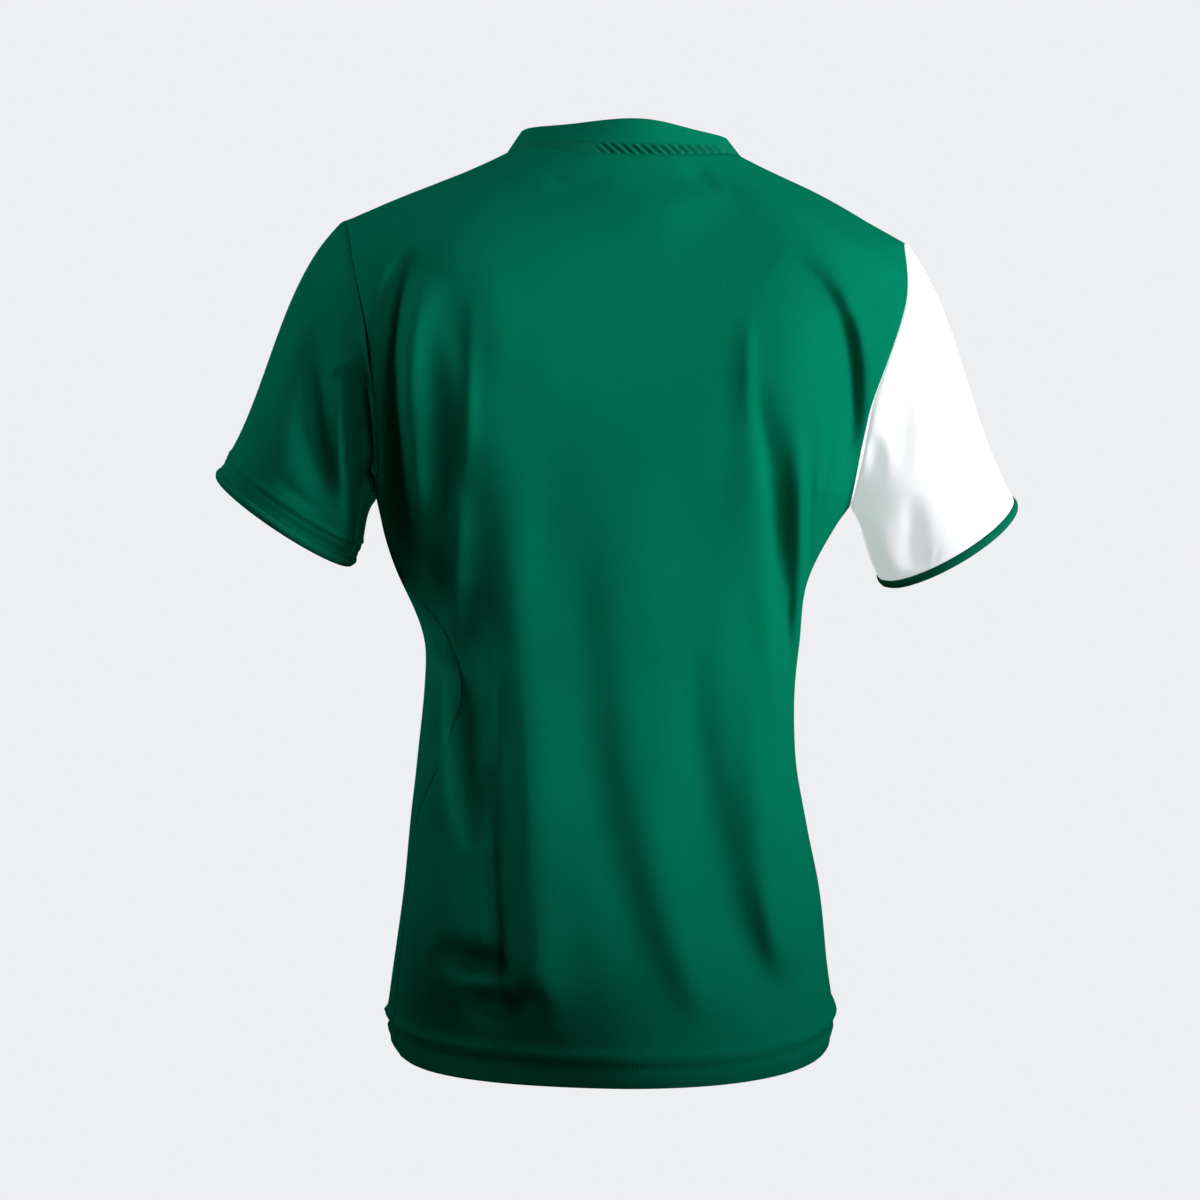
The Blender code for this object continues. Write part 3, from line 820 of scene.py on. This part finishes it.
# The stitched band above the left cuff: height above the cuff, reach and height out of the cloth.
cuffBand = {"bands": ((4.5, 1, -0.7), (11, 1, -0.7), (13.5, 2.4, 0.9)), "stitchRows": (4.5, 11)}
sleeveSides = {
    "left": {"creases": leftSleeveCreases, "finish": greenKnit, "slot": "green_knit"},
    "right": {"creases": rightSleeveCreases, "finish": whiteKnit, "slot": "white_knit"},
}
for side, its in sleeveSides.items():
    grid = closed(outerGrid("sleeve_" + side, False, True), ("first", "last", "start", "end"))
    grid = finer(grid, sleeve["finer"], sleeve["finer"], columnBreaks=(sleeve["corner"],), reach=3)
    fromSeam = lengths(grid, 0) / mm
    fromCuff = fromSeam[-1:] - fromSeam
    share = eased01(fromSeam / sleeve["ownFade"])
    share = share * np.clip(fromCuff / sleeve["ownFade"], sleeve["atCuff"], 1)
    shaped = creasedTube(grid, its["creases"], share)
    shaped = creased(shaped, backCreases + armpitCreases, eased01(1 - fromSeam / sleeve["bodyFade"]))
    bands = borderPinch(grid, ("first",), sleeve["pinch"], body["seamReach"])
    if side == "left":
        bands += bandField(fromCuff, cuffBand["bands"])
    shaped = moved(shaped, bands)
    its["sewn"] = []
    if side == "left":
        upwards = shaped[::-1, ::-1], fromCuff[::-1, ::-1]
        its["sewn"] = [sewnRows("sleeveLeftStitches", *upwards, cuffBand["stitchRows"])]
    its["wall"] = tucked(shaped, ("first",))
    thick = sleeve["thickness"] * mm
    its["piece"] = shell("sleeve" + side.title(), its["wall"], thick, its["finish"])
    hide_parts("sleeve_" + side)

    cuff = closed(outerGrid("cuff_binding_" + side, False, True), ("first", "start", "end"))
    cuff = finer(cuff, sleeve["bindingFiner"], sleeve["finer"])
    shift = shaped[-1] - grid[-1]  # the binding goes along with the cuff's creases
    its["strip"] = tucked(cuff + shift, ("first",))
    thick = sleeve["bindingThickness"] * mm
    its["binding"] = shell("cuffBinding" + side.title(), its["strip"], thick, greenTrim)
    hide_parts("cuff_binding_" + side)
print("sleeves made")

# The strip on the neck seam, with small folds that slant across it behind the neck.
tape = {
    "finer": (8, 14),
    "thickness": 1.0,
    "left": 30,
    "leftFade": 14,
    "right": -74,
    "rightFade": 8,
    "pitch": 7,
    "slant": 1.2,
    "height": 1.15,
}
stand = {"finer": (6, 9), "thickness": 2.0}

tapeGrid = closed(outerGrid("collar_tape", True, True), ("first", "last", "start", "end"))
tapeGrid = finer(tapeGrid, *tape["finer"])
tapeLeft, tapeUp = seenFrom(tapeGrid)
tapeAbove = lengths(tapeGrid, 0) / mm
folded = np.clip((tapeLeft - tape["right"]) / tape["rightFade"], 0, 1)
folded *= np.clip((tape["left"] - tapeLeft) / tape["leftFade"], 0, 1)
folded *= np.clip(gridNormals(tapeGrid)[..., 1] * 2, 0, 1)
folded *= tape["height"] * eased01(np.minimum(tapeAbove, tapeAbove[-1:] - tapeAbove) / 2)
wave = np.sin(2 * pi * (tapeLeft - tape["slant"] * tapeUp) / tape["pitch"])
tapeGrid = tucked(moved(tapeGrid, folded * wave), ("first",))
tapePiece = shell("collarTape", tapeGrid, tape["thickness"] * mm, greenTrim)
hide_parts("collar_tape")
collarGrid = closed(outerGrid("collar", True, True), ("first", "start", "end"))
collarGrid = tucked(finer(collarGrid, *stand["finer"]), ("first",))
collarPiece = shell("collarStand", collarGrid, stand["thickness"] * mm, greenKnit)
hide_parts("collar")
print("neck made")


# In metres.
studio = {
    "target": (0.024, 0, -0.326),
    "distance": 3.0,
    "frameWidth": 0.9,  # across the picture, at the target
    "paper": (0.855, 0.863, 0.879),
    "air": (0.9, 0.95, 1),
    "ambient": 0.01,
    "floor": -0.82,
    "room": 12,
}
# Gridded panel lights: degrees round to the camera's right, degrees up, watts, the height they are
# aimed at in millimetres, and how wide the grid lets the light spread in degrees.
panel = {"size": 1.0, "distance": 1.7}
panelLights = {
    "keyPanel": (80, 2, 1.7, -58, 42),
    "sidePanel": (62, 2, 2.1, -58, 42),
    "cameraPanel": (16, 6, 0.65, -60, 42),
    "leftPanel": (-106, 18, 1.6, -90, 42),
    "farPanel": (180, 0, 1.3, -120, 42),
    "hemPanel": (30, 55, 0.42, -650, 16),
}

target = Vector(studio["target"])
cameraData = bpy.data.cameras.new("viewCamera")
cameraData.sensor_width = 36
cameraData.angle = 2 * atan(studio["frameWidth"] / 2 / studio["distance"])
camera = bpy.data.objects.new("viewCamera", cameraData)
camera.location = target + studio["distance"] * Vector((sin(viewTurn), cos(viewTurn), 0))
camera.rotation_euler = (target - camera.location).to_track_quat("-Z", "Y").to_euler()
bpy.context.scene.collection.objects.link(camera)
bpy.context.scene.camera = camera

for name, (rightward, upward, watts, aim, spread) in panelLights.items():
    light = bpy.data.lights.new(name, "AREA")
    light.shape = "SQUARE"
    light.size = panel["size"]
    light.spread = radians(spread)
    light.energy = watts
    bearing, rise = viewTurn - radians(rightward), radians(upward)
    lamp = bpy.data.objects.new(name, light)
    way = Vector((sin(bearing) * cos(rise), cos(bearing) * cos(rise), sin(rise)))
    lamp.location = Vector((0, 0, aim * mm)) + way * panel["distance"]
    lamp.rotation_euler = (-way).to_track_quat("-Z", "Y").to_euler()
    bpy.context.scene.collection.objects.link(lamp)

world = bpy.data.worlds.new("studioAir")
world.use_nodes = True
world.node_tree.nodes["Background"].inputs["Color"].default_value = (*studio["air"], 1)
world.node_tree.nodes["Background"].inputs["Strength"].default_value = studio["ambient"]
bpy.context.scene.world = world

paper = bpy.data.materials.new("studioPaper")
paper.use_nodes = True
paperNodes = paper.node_tree.nodes
paperNodes.remove(paperNodes["Principled BSDF"])
glow = paperNodes.new("ShaderNodeEmission")
glow.inputs["Color"].default_value = (*studio["paper"], 1)
paper.node_tree.links.new(glow.outputs["Emission"], paperNodes["Material Output"].inputs["Surface"])


def stageObject(name):
    made = bpy.context.object
    made.name = name
    made.data.materials.append(paper)
    made.visible_diffuse = made.visible_glossy = made.visible_shadow = False
    made.visible_transmission = False
    made.select_set(False)


room, middle = studio["room"], (0, 0, studio["floor"])
bpy.ops.mesh.primitive_circle_add(vertices=96, radius=room - 0.1, fill_type="NGON", location=middle)
stageObject("studioFloor")
bpy.ops.mesh.primitive_uv_sphere_add(segments=64, ring_count=32, radius=room, location=middle)
stageObject("studioBackdrop")

bpy.context.scene.view_settings.view_transform = "Standard"
bpy.context.scene.view_settings.look = "None"
print("studio made")
